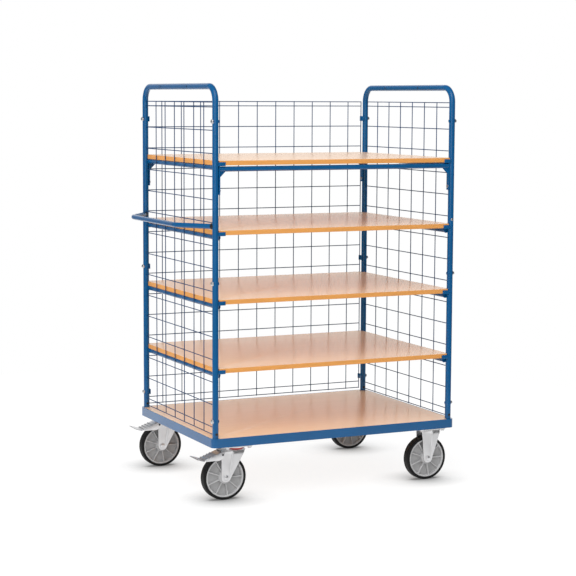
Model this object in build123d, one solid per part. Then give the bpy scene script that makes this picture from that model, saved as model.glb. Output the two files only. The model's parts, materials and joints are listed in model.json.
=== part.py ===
"""Shelf trolley: steel platform on four castors, two tube hoops, mesh walls and wooden shelves.

Millimetres, +Z up, front towards -Y, push handle towards -X. The origin is on the floor, in the
middle of the trolley's outline.
"""

import os
from math import cos, degrees, hypot, radians, sin, sqrt, tan

from build123d import *

# Overall sizes
PLATFORM_LENGTH = 1200.0
PLATFORM_WIDTH = 880.0
TROLLEY_HEIGHT = 1800.0

# Platform frame, deck and what carries them
RIM_HEIGHT = 40.0
RIM_WALL = 4.0
LEDGE_WIDTH = 20.0
LEDGE_THICKNESS = 4.0
FLANGE_WIDTH = 28.0
FLANGE_THICKNESS = 4.0
CORNER_PLATE_SIZE = 60.0
DECK_THICKNESS = 20.0
BOARD_GAP = 0.5
MEMBER_WIDTH = 40.0
MEMBER_WALL = 2.0
MOUNTING_PLATE_LENGTH = 150.0

# Hoops and posts
POST_DIAMETER = 27.0
POST_WALL = 2.0
POST_INSET = 22.0
HOOP_BEND_RADIUS = 65.0
POST_NOTCH_GAP = 1.0
SPIGOT_HEIGHT = 70.0
SPIGOT_GAP = 0.3
SEAT_GAP = 0.1

# Shelves, their rails and lips
SHELF_COUNT = 4
LOW_BAY_EXTRA = 5.0
TOP_BAY_HEIGHT = 327.0
SHELF_THICKNESS = 20.0
SHELF_MESH_GAP = 1.0
SHELF_SIDE_OVERHANG = 10.0
RAIL_DIAMETER = 22.0
LIP_LENGTH = 33.0
LIP_HEIGHT = 17.0
LIP_THICKNESS = 3.0
LIP_RAIL_LAP = 1.5

# Cross tubes under the top shelf
CROSS_TUBE_DIAMETER = 22.0
CROSS_TUBE_DROP = 4.5
END_PLATE_THICKNESS = 5.0
END_PLATE_WIDTH = 20.0
END_PLATE_HEIGHT = 120.0
GUSSET_LEG = 28.0
GUSSET_THICKNESS = 4.0

# Wire mesh walls
WIRE_DIAMETER = 4.0
WIRE_SIDES = 6
WIRE_GAP = 0.02
MESH_PITCH_Z = 98.2
END_MESH_PITCH_Y = 114.0
BACK_MESH_PITCH_X = 98.0
MESH_EDGE_PITCH = 20.6
MESH_FOOT_PITCH = 31.6
MESH_TOP_DROP = 80.4
MESH_DECK_GAP = 12.6
END_MESH_OFFSET = 2.0
END_MESH_SIDE_GAP = 133.0
BACK_MESH_OFFSET = 16.0
BACK_MESH_POST_GAP = 16.0
BACK_MESH_SIDE_GAP = 72.0

# Clips that hold the back mesh to the posts
FASTENING_DROP_TOP = 162.0
FASTENING_SHELF_RISE = 70.0
FASTENING_RISE = 73.0
CLIP_HEIGHT = 24.0
CLIP_THICKNESS = 3.0
CLIP_HOOK_WIDTH = 9.4

# Push handle
HANDLE_DIAMETER = 22.0
HANDLE_DROP = 606.0
HANDLE_REACH = 120.0
HANDLE_LEG_SPREAD = 150.0
HANDLE_BEND_RADIUS = 70.0
FERRULE_DIAMETER = 25.0
FERRULE_LENGTH = 7.0

# Wheels
WHEEL_DIAMETER = 200.0
TREAD_WIDTH = 40.0
TYRE_DEPTH = 12.0
RIM_WIDTH = 38.0
RIM_RING_WIDTH = 9.0
WEB_THICKNESS = 10.0
HUB_DIAMETER = 54.0
HUB_WIDTH = 50.0
RIB_COUNT = 9
RIB_THICKNESS = 4.0
AXLE_DIAMETER = 12.0
AXLE_NUT_FLATS = 19.0
AXLE_NUT_HEIGHT = 8.0
FIT_GAP = 0.05

# Castors
CASTOR_PLATE_LENGTH = 135.0
CASTOR_PLATE_WIDTH = 110.0
CASTOR_PLATE_THICKNESS = 5.0
CASTOR_PLATE_CORNER = 12.0
CASTOR_INSET_Y = 60.0
SWIVEL_INSET_X = 130.0
FIXED_AXLE_INSET_X = 120.0
TRAIL = 55.0
WHEEL_CLEARANCE = 17.7
FORK_WALL = 4.0
FORK_SIDE_GAP = 2.0
AXLE_EYE_RADIUS = 20.0
FORK_CROWN_THICKNESS = 6.0
FORK_FRONT = 38.0
FORK_BEAD_HEIGHT = 1.5
FORK_BEAD_WIDTH = 26.0
FORK_BEAD_SLANT = 87.0
FORK_BEAD_MARGIN = 16.0
RACEWAY_RADIUS = 42.0
RACEWAY_HEIGHT = 6.0
SEAL_RADIUS = 38.0
SEAL_BORE_RADIUS = 10.0
SEAL_HEIGHT = 5.0
SWIVEL_GAP = 0.3
KINGPIN_DIAMETER = 12.0
KINGPIN_NUT_FLATS = 24.0
KINGPIN_NUT_HEIGHT = 8.0
FIXED_FORK_BACK = 30.0
FIXED_FORK_FRONT = 66.0

# Brake pedals
PEDAL_PIVOT_BACK = 16.0
PEDAL_PIVOT_CLEARANCE = 3.0
PEDAL_SLOPE = 21.0
PEDAL_LENGTH = 100.0
PEDAL_WALL = 2.5
PEDAL_ARM_GAP = 0.4
PEDAL_ARM_DEPTH = 36.0
PEDAL_ARM_HEAD = 17.0
PEDAL_ARM_TAIL = 8.0
PEDAL_TRAVEL = 7.0
TREAD_START = 16.0
FOOT_WIDTH = 110.0
FOOT_LENGTH = 40.0
FOOT_RISE = 15.0
RIDGE_COUNT = 3
RIDGE_PITCH = 14.0
RIDGE_HEIGHT = 2.0
RIDGE_WIDTH = 4.0
RIVET_DIAMETER = 10.0
RIVET_LENGTH = 1.5
SHOE_WIDTH = 30.0
SHOE_LENGTH = 24.0
SHOE_START = 48.0
SHOE_DEPTH = 14.0
BRAKE_GAP = 1.5

# Heights and places worked out from the sizes above
POST_RADIUS = POST_DIAMETER / 2
POST_X = PLATFORM_LENGTH / 2 - POST_INSET
POST_Y = PLATFORM_WIDTH / 2 - POST_INSET
WHEEL_RADIUS = WHEEL_DIAMETER / 2
RIM_DIAMETER = WHEEL_DIAMETER - 2 * TYRE_DEPTH
CROWN_BOTTOM = WHEEL_DIAMETER + WHEEL_CLEARANCE
CROWN_TOP = CROWN_BOTTOM + FORK_CROWN_THICKNESS
SEAL_BOTTOM = CROWN_TOP + SWIVEL_GAP
RACEWAY_BOTTOM = SEAL_BOTTOM + SEAL_HEIGHT
PLATE_BOTTOM = RACEWAY_BOTTOM + RACEWAY_HEIGHT
CASTOR_TOP = PLATE_BOTTOM + CASTOR_PLATE_THICKNESS
RIM_BOTTOM = CASTOR_TOP
DECK_TOP = RIM_BOTTOM + RIM_HEIGHT
LEDGE_TOP = DECK_TOP - DECK_THICKNESS
TOP_SHELF = TROLLEY_HEIGHT - TOP_BAY_HEIGHT
SHELF_PITCH = (TOP_SHELF - DECK_TOP - LOW_BAY_EXTRA) / SHELF_COUNT
SHELF_TOPS = [DECK_TOP + LOW_BAY_EXTRA + SHELF_PITCH * n for n in range(1, SHELF_COUNT + 1)]
SHELF_END_GAP = 1.5 * WIRE_DIAMETER + WIRE_GAP - END_MESH_OFFSET + SHELF_MESH_GAP
RAIL_OFFSET = SHELF_END_GAP + RAIL_DIAMETER / 2
LIP_FOOT_DEPTH = SHELF_SIDE_OVERHANG + POST_RADIUS + LIP_RAIL_LAP
HANDLE_HEIGHT = TROLLEY_HEIGHT - HANDLE_DROP
WIRE_CORNER = WIRE_DIAMETER / 2 / cos(radians(180 / WIRE_SIDES))
MESH_TOP = TROLLEY_HEIGHT - MESH_TOP_DROP
MESH_BOTTOM = DECK_TOP + MESH_DECK_GAP
FASTENING_HEIGHTS = [DECK_TOP + FASTENING_RISE, SHELF_TOPS[1] + FASTENING_SHELF_RISE,
                     TROLLEY_HEIGHT - FASTENING_DROP_TOP]
SPIGOT_RADIUS = POST_RADIUS - POST_WALL - SPIGOT_GAP
CASTOR_Y = PLATFORM_WIDTH / 2 - CASTOR_INSET_Y
KINGPIN_X = -PLATFORM_LENGTH / 2 + SWIVEL_INSET_X
FIXED_AXLE_X = PLATFORM_LENGTH / 2 - FIXED_AXLE_INSET_X
FIXED_PLATE_X = FIXED_AXLE_X + (FIXED_FORK_FRONT - FIXED_FORK_BACK) / 2
CHEEK_INNER = HUB_WIDTH / 2 + FORK_SIDE_GAP
CHEEK_OUTER = CHEEK_INNER + FORK_WALL
ARM_INNER = CHEEK_OUTER + PEDAL_ARM_GAP
ARM_OUTER = ARM_INNER + PEDAL_WALL
AXLE_X = KINGPIN_X - TRAIL
PIVOT_X = AXLE_X - PEDAL_PIVOT_BACK
PEDAL_PIVOT_RISE = WHEEL_RADIUS + PEDAL_PIVOT_CLEARANCE
PIVOT_Z = WHEEL_RADIUS + PEDAL_PIVOT_RISE
HANDLE_END = -POST_X - HANDLE_REACH - HANDLE_DIAMETER / 2
FRAME_SHIFT = -(HANDLE_END + PLATFORM_LENGTH / 2) / 2

nodes = {}


def box(x0, x1, y0, y1, z0, z1):
    """A block between two corners."""
    middle = Pos((x0 + x1) / 2, (y0 + y1) / 2, (z0 + z1) / 2)
    return middle * Box(abs(x1 - x0), abs(y1 - y0), abs(z1 - z0))


def rod(radius, start, end):
    """A round bar from one point to another."""
    plane = Plane(origin=start, z_dir=Vector(*end) - Vector(*start))
    length = (Vector(*end) - Vector(*start)).length
    return extrude(plane * Circle(radius), length)


def bar(radius, path):
    """A round bar along a path of straight runs and arcs, each bend turned about its own centre."""
    piece = Part()
    for edge in path.edges():
        section = Plane(origin=edge @ 0, z_dir=edge % 0) * Circle(radius)
        if edge.geom_type == GeomType.LINE:
            piece += extrude(section, edge.length)
        else:
            spoke = edge @ 0 - edge.arc_center
            axis = Axis(edge.arc_center, spoke.cross(edge % 0))
            piece += revolve(section, axis, degrees(edge.length / edge.radius))
    return piece


def wire(start, end, facing):
    """A straight mesh wire with flat sides, one of them facing the wires that cross it."""
    run = Vector(*end) - Vector(*start)
    plane = Plane(origin=start, x_dir=facing, z_dir=run)
    section = RegularPolygon(WIRE_DIAMETER / 2, WIRE_SIDES, major_radius=False, rotation=180 / WIRE_SIDES)
    return extrude(plane * section, run.length)


def spread(low, high, pitch):
    """Evenly spaced places from low to high, as near to the pitch as they divide."""
    steps = max(1, round((high - low) / pitch))
    return [low + (high - low) * n / steps for n in range(steps + 1)]


def xz_solid(sketch, y0, y1):
    """Extrudes a sketch drawn in X and Z from y0 to y1."""
    direction = (0, 1, 0) if y1 > y0 else (0, -1, 0)
    return extrude(Plane.XZ.offset(-y0) * sketch, abs(y1 - y0), dir=direction)


def post_cylinder(x, y, gap):
    """The space that a post takes up, with a gap round it."""
    return rod(POST_RADIUS + gap, (x, y, 0), (x, y, TROLLEY_HEIGHT))


def corners():
    """The four posts as (x sign, y sign)."""
    return [(sx, sy) for sx in (-1, 1) for sy in (-1, 1)]


def group(solids):
    """Several separate solids in one node."""
    return Compound(children=list(solids))


# Platform

def rim_inner(inset):
    """The outline inside the rim wall, drawn in by inset, with square corners where it leaves the bend."""
    length = PLATFORM_LENGTH - 2 * (RIM_WALL + inset)
    width = PLATFORM_WIDTH - 2 * (RIM_WALL + inset)
    corner = POST_INSET - RIM_WALL - inset
    return RectangleRounded(length, width, corner) if corner > 0 else Rectangle(length, width)


def corner_blocks(gap, low, high):
    """Blocks at the four corners round the posts, each with a rounded inner edge."""
    reach = POST_INSET + POST_RADIUS + gap
    blocks = Part()
    for sx, sy in corners():
        block = box(sx * (PLATFORM_LENGTH / 2 - reach), sx * PLATFORM_LENGTH / 2,
                    sy * (PLATFORM_WIDTH / 2 - reach), sy * PLATFORM_WIDTH / 2, low, high)
        inner_edge = block.edges().filter_by(Axis.Z).sort_by_distance((0, 0, (low + high) / 2))[0]
        blocks += fillet(inner_edge, POST_RADIUS)
    return blocks


def platform_frame():
    """The rim with its ledge and bottom flange, and a closed corner with a spigot for each post."""
    outline = RectangleRounded(PLATFORM_LENGTH, PLATFORM_WIDTH, POST_INSET)
    frame = Pos(0, 0, RIM_BOTTOM) * extrude(outline - rim_inner(0), RIM_HEIGHT)
    ledge = rim_inner(0) - rim_inner(LEDGE_WIDTH)
    frame += Pos(0, 0, LEDGE_TOP - LEDGE_THICKNESS) * extrude(ledge, LEDGE_THICKNESS)
    flange = rim_inner(0) - rim_inner(FLANGE_WIDTH)
    frame += Pos(0, 0, RIM_BOTTOM) * extrude(flange, FLANGE_THICKNESS)
    inside = Pos(0, 0, RIM_BOTTOM) * extrude(rim_inner(0), RIM_HEIGHT)
    closed = corner_blocks(POST_NOTCH_GAP - BOARD_GAP, LEDGE_TOP - LEDGE_THICKNESS, DECK_TOP)
    frame += closed & inside
    for sx, sy in corners():
        x, y = sx * POST_X, sy * POST_Y
        frame -= rod(POST_RADIUS + SPIGOT_GAP, (x, y, LEDGE_TOP), (x, y, DECK_TOP))
        frame += rod(SPIGOT_RADIUS, (x, y, LEDGE_TOP), (x, y, LEDGE_TOP + SPIGOT_HEIGHT))
    return frame


def deck_board():
    board = Pos(0, 0, LEDGE_TOP) * extrude(rim_inner(BOARD_GAP), DECK_THICKNESS)
    return board - corner_blocks(POST_NOTCH_GAP, LEDGE_TOP, DECK_TOP)


def cross_member(x, carries_castors):
    """A box tube across the frame, with a mounting plate under each end where castors are bolted on."""
    end = PLATFORM_WIDTH / 2 - RIM_WALL - LEDGE_WIDTH - SEAT_GAP
    low = RIM_BOTTOM + FLANGE_THICKNESS
    half = MEMBER_WIDTH / 2
    member = box(x - half, x + half, -end, end, low, LEDGE_TOP)
    member -= box(x - half + MEMBER_WALL, x + half - MEMBER_WALL, -end, end,
                  low + MEMBER_WALL, LEDGE_TOP - MEMBER_WALL)
    if carries_castors:
        outer = PLATFORM_WIDTH / 2 - RIM_WALL - FLANGE_WIDTH - SEAT_GAP
        inner = CASTOR_Y - CASTOR_PLATE_WIDTH / 2
        flange_end = PLATFORM_LENGTH / 2 - RIM_WALL - FLANGE_WIDTH - SEAT_GAP
        left = max(x - MOUNTING_PLATE_LENGTH / 2, -flange_end)
        right = min(x + MOUNTING_PLATE_LENGTH / 2, flange_end)
        for sy in (-1, 1):
            member += box(left, right, sy * inner, sy * outer, RIM_BOTTOM, low)
    return member


nodes["platform_frame"] = platform_frame()
nodes["deck_board"] = deck_board()
nodes["left_cross_member"] = cross_member(KINGPIN_X, True)
nodes["middle_cross_member"] = cross_member((KINGPIN_X + FIXED_PLATE_X) / 2, False)
nodes["right_cross_member"] = cross_member(FIXED_PLATE_X, True)


# Hoops, standing on spigots in the platform corners

def hoop(sx):
    x = sx * POST_X
    foot = LEDGE_TOP + SEAT_GAP
    top = TROLLEY_HEIGHT - POST_RADIUS
    path = FilletPolyline((x, -POST_Y, foot), (x, -POST_Y, top), (x, POST_Y, top), (x, POST_Y, foot),
                          radius=HOOP_BEND_RADIUS)
    piece = bar(POST_RADIUS, path)
    for sy in (-1, 1):
        y = sy * POST_Y
        socket_top = LEDGE_TOP + SPIGOT_HEIGHT + SEAT_GAP
        piece -= rod(POST_RADIUS - POST_WALL, (x, y, foot), (x, y, socket_top))
    return piece


nodes["left_hoop"] = hoop(-1)
nodes["right_hoop"] = hoop(1)


# Shelves, with a rail under each end and a lip at each corner

SHELF_HALF_LENGTH = POST_X - SHELF_END_GAP
SHELF_HALF_WIDTH = POST_Y + SHELF_SIDE_OVERHANG


def shelf_board(top):
    low = top - SHELF_THICKNESS
    board = box(-SHELF_HALF_LENGTH, SHELF_HALF_LENGTH, -SHELF_HALF_WIDTH, SHELF_HALF_WIDTH, low, top)
    return board - corner_blocks(POST_NOTCH_GAP, low, top)


def shelf_rail(sx, top):
    """A rail flush with the board's end, let into the posts and stopping short of the cross tubes."""
    z = top - SHELF_THICKNESS - RAIL_DIAMETER / 2 - SEAT_GAP
    x = sx * (POST_X - RAIL_OFFSET)
    end = POST_Y - CROSS_TUBE_DIAMETER / 2 - SEAT_GAP
    rail = rod(RAIL_DIAMETER / 2, (x, -end, z), (x, end, z))
    for sy in (-1, 1):
        rail -= post_cylinder(sx * POST_X, sy * POST_Y, SEAT_GAP)
    return rail


def shelf_lip(sx, sy, top):
    face = SHELF_HALF_WIDTH + SEAT_GAP
    reach = sqrt(POST_RADIUS ** 2 - (face - POST_Y) ** 2)
    outer = POST_X - reach - SEAT_GAP
    foot_end = POST_X - RAIL_OFFSET - sqrt(
        (RAIL_DIAMETER / 2) ** 2 - (RAIL_DIAMETER / 2 - LIP_THICKNESS) ** 2) - SEAT_GAP
    low = top - SHELF_THICKNESS - SEAT_GAP - LIP_THICKNESS
    inner = outer - LIP_LENGTH
    upright = box(sx * inner, sx * outer, sy * face, sy * (face + LIP_THICKNESS), low, low + LIP_HEIGHT)
    foot = box(sx * inner, sx * foot_end, sy * (face - LIP_FOOT_DEPTH), sy * (face + LIP_THICKNESS),
               low, low + LIP_THICKNESS)
    return upright + foot


for number, shelf_top in enumerate(SHELF_TOPS, start=1):
    nodes[f"shelf_board_{number}"] = shelf_board(shelf_top)
    nodes[f"left_shelf_rail_{number}"] = shelf_rail(-1, shelf_top)
    nodes[f"right_shelf_rail_{number}"] = shelf_rail(1, shelf_top)
for side, sign in (("front", -1), ("rear", 1)):
    nodes[f"{side}_shelf_lips"] = group(shelf_lip(sx, sign, z) for z in SHELF_TOPS for sx in (-1, 1))


# Cross tubes under the top shelf, each with two gusseted end plates

def cross_tube(sy):
    z = TOP_SHELF - SHELF_THICKNESS - CROSS_TUBE_DROP - CROSS_TUBE_DIAMETER / 2
    y = sy * POST_Y
    face = POST_X - POST_RADIUS - SEAT_GAP
    seat = face - END_PLATE_THICKNESS
    piece = rod(CROSS_TUBE_DIAMETER / 2, (-seat, y, z), (seat, y, z))
    top = z + CROSS_TUBE_DIAMETER / 2
    under = z - CROSS_TUBE_DIAMETER / 2 + GUSSET_THICKNESS / 4
    for sx in (-1, 1):
        piece += box(sx * seat, sx * face, y - END_PLATE_WIDTH / 2, y + END_PLATE_WIDTH / 2,
                     top - END_PLATE_HEIGHT, top)
        gusset = Polygon((sx * seat, under), (sx * (seat - GUSSET_LEG), under),
                         (sx * seat, under - GUSSET_LEG), align=None)
        piece += xz_solid(gusset, y - GUSSET_THICKNESS / 2, y + GUSSET_THICKNESS / 2)
    return piece


nodes["front_cross_tube"] = cross_tube(-1)
nodes["rear_cross_tube"] = cross_tube(1)


# Wire mesh walls

def mesh_heights():
    """Heights of the level wires, with one close to each edge."""
    inner = spread(MESH_BOTTOM + MESH_FOOT_PITCH, MESH_TOP - MESH_EDGE_PITCH, MESH_PITCH_Z)
    return [MESH_BOTTOM] + inner + [MESH_TOP]


def end_mesh(sx):
    half = WIRE_DIAMETER / 2
    x_level = sx * (POST_X + END_MESH_OFFSET)
    x_upright = x_level - sx * (WIRE_DIAMETER + WIRE_GAP)
    end = POST_Y - sqrt(POST_RADIUS ** 2 - (END_MESH_OFFSET - half) ** 2) - SEAT_GAP
    side = POST_Y - END_MESH_SIDE_GAP
    wires = [wire((x_level, -end, z), (x_level, end, z), (1, 0, 0)) for z in mesh_heights()]
    wires += [wire((x_upright, y, MESH_BOTTOM - half), (x_upright, y, MESH_TOP + half), (1, 0, 0))
              for y in spread(-side, side, END_MESH_PITCH_Y)]
    return group(wires)


def back_mesh():
    half = WIRE_CORNER
    y_upright = POST_Y + BACK_MESH_OFFSET
    y_level = y_upright + WIRE_DIAMETER + WIRE_GAP
    edge = POST_X - BACK_MESH_POST_GAP
    side = edge - BACK_MESH_SIDE_GAP
    wires = [wire((-edge - half, y_level, z), (edge + half, y_level, z), (0, 1, 0)) for z in mesh_heights()]
    wires += [wire((x, y_upright, MESH_BOTTOM - half), (x, y_upright, MESH_TOP + half), (0, 1, 0))
              for x in [-edge] + spread(-side, side, BACK_MESH_PITCH_X) + [edge]]
    return group(wires)


def mesh_clip(sx, z):
    """A plate on the inner side of a back post, bent round the edge wire of the back mesh."""
    face = POST_X - POST_RADIUS - SEAT_GAP
    wire_front = POST_Y + BACK_MESH_OFFSET - WIRE_DIAMETER / 2 - SEAT_GAP
    wire_back = POST_Y + BACK_MESH_OFFSET + WIRE_DIAMETER / 2
    hook = POST_X - BACK_MESH_POST_GAP - WIRE_CORNER - SEAT_GAP
    low, high = z - CLIP_HEIGHT / 2, z + CLIP_HEIGHT / 2
    plate = box(sx * (face - CLIP_THICKNESS), sx * face, POST_Y - CLIP_HEIGHT / 2, wire_front, low, high)
    bend = box(sx * (hook - CLIP_THICKNESS), sx * face, wire_front - CLIP_THICKNESS, wire_front, low, high)
    tongue = box(sx * (hook - CLIP_THICKNESS), sx * hook, wire_front - CLIP_THICKNESS, wire_back, low, high)
    return plate + bend + tongue


nodes["left_mesh"] = end_mesh(-1)
nodes["right_mesh"] = end_mesh(1)
nodes["back_mesh"] = back_mesh()
nodes["mesh_clips"] = group(mesh_clip(sx, z) for sx in (-1, 1) for z in FASTENING_HEIGHTS)


# Push handle on the left end, with a dark ring against each post

LEG_LENGTH = hypot(HANDLE_REACH, HANDLE_LEG_SPREAD)


def leg_point(sy, distance):
    """A point on a handle leg, at a distance from the post's axis."""
    share = distance / LEG_LENGTH
    return (-POST_X - HANDLE_REACH * share, sy * (POST_Y - HANDLE_LEG_SPREAD * share), HANDLE_HEIGHT)


def push_handle():
    start = POST_RADIUS + FERRULE_LENGTH + SEAT_GAP
    path = FilletPolyline(leg_point(-1, start), leg_point(-1, LEG_LENGTH), leg_point(1, LEG_LENGTH),
                          leg_point(1, start), radius=HANDLE_BEND_RADIUS)
    return bar(HANDLE_DIAMETER / 2, path)


def handle_ferrule(sy):
    ring = rod(FERRULE_DIAMETER / 2, leg_point(sy, 0), leg_point(sy, POST_RADIUS + FERRULE_LENGTH))
    return ring - post_cylinder(-POST_X, sy * POST_Y, SEAT_GAP)


nodes["push_handle"] = push_handle()
nodes["handle_ferrules"] = group(handle_ferrule(sy) for sy in (-1, 1))


# Wheels, drawn about the axle and then moved to it

def ring(outer, inner, half_width):
    """A ring about the Y axis."""
    return xz_solid(Circle(outer) - Circle(inner), -half_width, half_width)


def tyre():
    return ring(WHEEL_DIAMETER / 2, RIM_DIAMETER / 2, TREAD_WIDTH / 2)


def pocket():
    """One of the pockets that leave the ribs standing between hub and rim, in X and Z."""
    half_rib = RIB_THICKNESS / 2
    inner = HUB_DIAMETER / 2 + half_rib
    outer = RIM_DIAMETER / 2 - RIM_RING_WIDTH
    step = radians(180 / RIB_COUNT)
    hub_edge = (inner, inner * tan(step) - half_rib / cos(step))
    rim_edge = (outer * cos(step), outer * sin(step) - half_rib / cos(step))
    mirror = [(x, -z) for x, z in (hub_edge, rim_edge)]
    return Polygon(hub_edge, rim_edge, (outer, 0), mirror[1], mirror[0], align=None)


def wheel_core():
    core = ring(RIM_DIAMETER / 2 - FIT_GAP, AXLE_DIAMETER / 2 + FIT_GAP, RIM_WIDTH / 2)
    core += ring(HUB_DIAMETER / 2, AXLE_DIAMETER / 2 + FIT_GAP, HUB_WIDTH / 2)
    for sy in (-1, 1):
        cut = xz_solid(pocket(), sy * WEB_THICKNESS / 2, sy * RIM_WIDTH / 2)
        for n in range(RIB_COUNT):
            core -= Rot(0, 360 * n / RIB_COUNT, 0) * cut
    return core


def axle():
    """The axle bolt with a nut on each side of the fork."""
    nut = CHEEK_OUTER + SEAT_GAP
    tip = nut + AXLE_NUT_HEIGHT
    piece = rod(AXLE_DIAMETER / 2, (0, -tip, 0), (0, tip, 0))
    for sy in (-1, 1):
        seat = Plane(origin=(0, sy * nut, 0), x_dir=(1, 0, 0), z_dir=(0, sy, 0))
        piece += extrude(seat * RegularPolygon(AXLE_NUT_FLATS / 2, 6, major_radius=False), AXLE_NUT_HEIGHT)
    return piece


# Castors: swivel pair on the handle end, fixed pair on the other end

def cheek_outline(top, back, front):
    """The side of a fork in X and Z about the axle: an eye that widens to the top edge."""
    rise = top - WHEEL_RADIUS
    eye = Circle(AXLE_EYE_RADIUS)
    edge = Pos((front - back) / 2, rise - FORK_WALL / 2) * Rectangle(front + back, FORK_WALL)
    return make_hull(eye.edges() + edge.edges()) - Circle(AXLE_DIAMETER / 2 + FIT_GAP)


def bead_outline(top):
    """The raised bead that stiffens the side of a fork, above the axle."""
    length = top - WHEEL_RADIUS - AXLE_EYE_RADIUS - FORK_BEAD_MARGIN
    bead = Trapezoid(FORK_BEAD_WIDTH, length, FORK_BEAD_SLANT)
    return Pos(0, AXLE_EYE_RADIUS + length / 2) * Rot(0, 0, 180) * bead


def fork_sides(top, back, front, bead_x):
    """Both sides of a fork about the axle, each with its bead on the outside."""
    sides = Part()
    for sy in (-1, 1):
        sides += xz_solid(cheek_outline(top, back, front), sy * CHEEK_INNER, sy * CHEEK_OUTER)
        sides += xz_solid(Pos(bead_x, 0) * bead_outline(top), sy * CHEEK_OUTER,
                          sy * (CHEEK_OUTER + FORK_BEAD_HEIGHT))
    return sides


def castor_plate():
    outline = Rectangle(CASTOR_PLATE_LENGTH, CASTOR_PLATE_WIDTH)
    return extrude(chamfer(outline.vertices(), CASTOR_PLATE_CORNER), CASTOR_PLATE_THICKNESS)


def swivel_head(y):
    plate = Pos(KINGPIN_X, y, PLATE_BOTTOM) * castor_plate()
    raceway = rod(RACEWAY_RADIUS, (KINGPIN_X, y, RACEWAY_BOTTOM), (KINGPIN_X, y, PLATE_BOTTOM))
    bore = rod(KINGPIN_DIAMETER / 2 + FIT_GAP, (KINGPIN_X, y, 0), (KINGPIN_X, y, CASTOR_TOP))
    return plate + raceway - bore


def kingpin(y):
    nut_top = CROWN_BOTTOM - SWIVEL_GAP
    pin = rod(KINGPIN_DIAMETER / 2, (KINGPIN_X, y, nut_top - KINGPIN_NUT_HEIGHT), (KINGPIN_X, y, CASTOR_TOP))
    nut = Pos(KINGPIN_X, y, nut_top - KINGPIN_NUT_HEIGHT) * extrude(
        RegularPolygon(KINGPIN_NUT_FLATS / 2, 6, major_radius=False), KINGPIN_NUT_HEIGHT)
    return pin + nut


def swivel_seal(y):
    ring = Circle(SEAL_RADIUS) - Circle(SEAL_BORE_RADIUS)
    return Pos(KINGPIN_X, y, SEAL_BOTTOM) * extrude(ring, SEAL_HEIGHT)


def swivel_fork(y):
    back = AXLE_EYE_RADIUS
    front = TRAIL + FORK_FRONT
    bead_x = FORK_BEAD_WIDTH / 2
    sides = Pos(AXLE_X, y, WHEEL_RADIUS) * fork_sides(CROWN_TOP, back, front, bead_x)
    fork = sides + box(AXLE_X - back, KINGPIN_X + FORK_FRONT, y - CHEEK_OUTER, y + CHEEK_OUTER,
                       CROWN_BOTTOM, CROWN_TOP)
    fork -= rod(KINGPIN_DIAMETER / 2 + FIT_GAP, (KINGPIN_X, y, CROWN_BOTTOM), (KINGPIN_X, y, CROWN_TOP))
    for sy in (-1, 1):
        seat = (PIVOT_X, y + sy * CHEEK_INNER, PIVOT_Z)
        tip = (PIVOT_X, y + sy * (ARM_OUTER + RIVET_LENGTH), PIVOT_Z)
        fork += rod(RIVET_DIAMETER / 2, seat, tip)
    return fork


def fixed_fork(y):
    middle = (FIXED_FORK_FRONT - FIXED_FORK_BACK) / 2
    sides = Pos(FIXED_AXLE_X, y, WHEEL_RADIUS) * fork_sides(
        CASTOR_TOP, FIXED_FORK_BACK, FIXED_FORK_FRONT, middle)
    return sides + Pos(FIXED_PLATE_X, y, PLATE_BOTTOM) * castor_plate()


def slope_point(along, above):
    """A point on the pedal in X and Z about its pivot: along the tread, and above it."""
    tilt = radians(PEDAL_SLOPE)
    return (PEDAL_ARM_TAIL - along * cos(tilt) - above * sin(tilt),
            PEDAL_ARM_HEAD - along * sin(tilt) + above * cos(tilt))


def tread_bar(along, width, length, above, height):
    """A flat bar on the pedal's slope, as a solid about the pivot."""
    outline = Polygon(slope_point(along, above), slope_point(along + length, above),
                      slope_point(along + length, above + height), slope_point(along, above + height),
                      align=None)
    return xz_solid(outline, -width / 2, width / 2)


def brake_pedal(y):
    end = slope_point(PEDAL_LENGTH, -PEDAL_WALL)
    low = -PEDAL_ARM_DEPTH
    arm = Polygon(slope_point(0, -PEDAL_WALL), end, (end[0] + PEDAL_ARM_TAIL, low),
                  (-2 * PEDAL_ARM_TAIL, low), (PEDAL_ARM_TAIL, low / 2), align=None)
    arm -= Circle(RIVET_DIAMETER / 2 + FIT_GAP)
    pedal = tread_bar(TREAD_START, 2 * ARM_OUTER, PEDAL_LENGTH - TREAD_START, -PEDAL_WALL, PEDAL_WALL)
    for sy in (-1, 1):
        pedal += xz_solid(arm, sy * ARM_INNER, sy * ARM_OUTER)
    lift = radians(FOOT_RISE)
    tip = (end[0] - FOOT_LENGTH * cos(lift), end[1] + FOOT_LENGTH * sin(lift))
    thick = (PEDAL_WALL * sin(lift), PEDAL_WALL * cos(lift))
    foot = Polygon((end[0] + PEDAL_WALL, end[1]), tip, (tip[0] + thick[0], tip[1] + thick[1]),
                   (end[0] + PEDAL_WALL, end[1] + thick[1]), align=None)
    pedal += xz_solid(foot, -FOOT_WIDTH / 2, FOOT_WIDTH / 2)
    for n in range(RIDGE_COUNT):
        along = PEDAL_LENGTH - (n + 1) * RIDGE_PITCH
        pedal += tread_bar(along, 2 * ARM_INNER, RIDGE_WIDTH, 0, RIDGE_HEIGHT)
    return Pos(PIVOT_X, y, PIVOT_Z) * pedal


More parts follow.
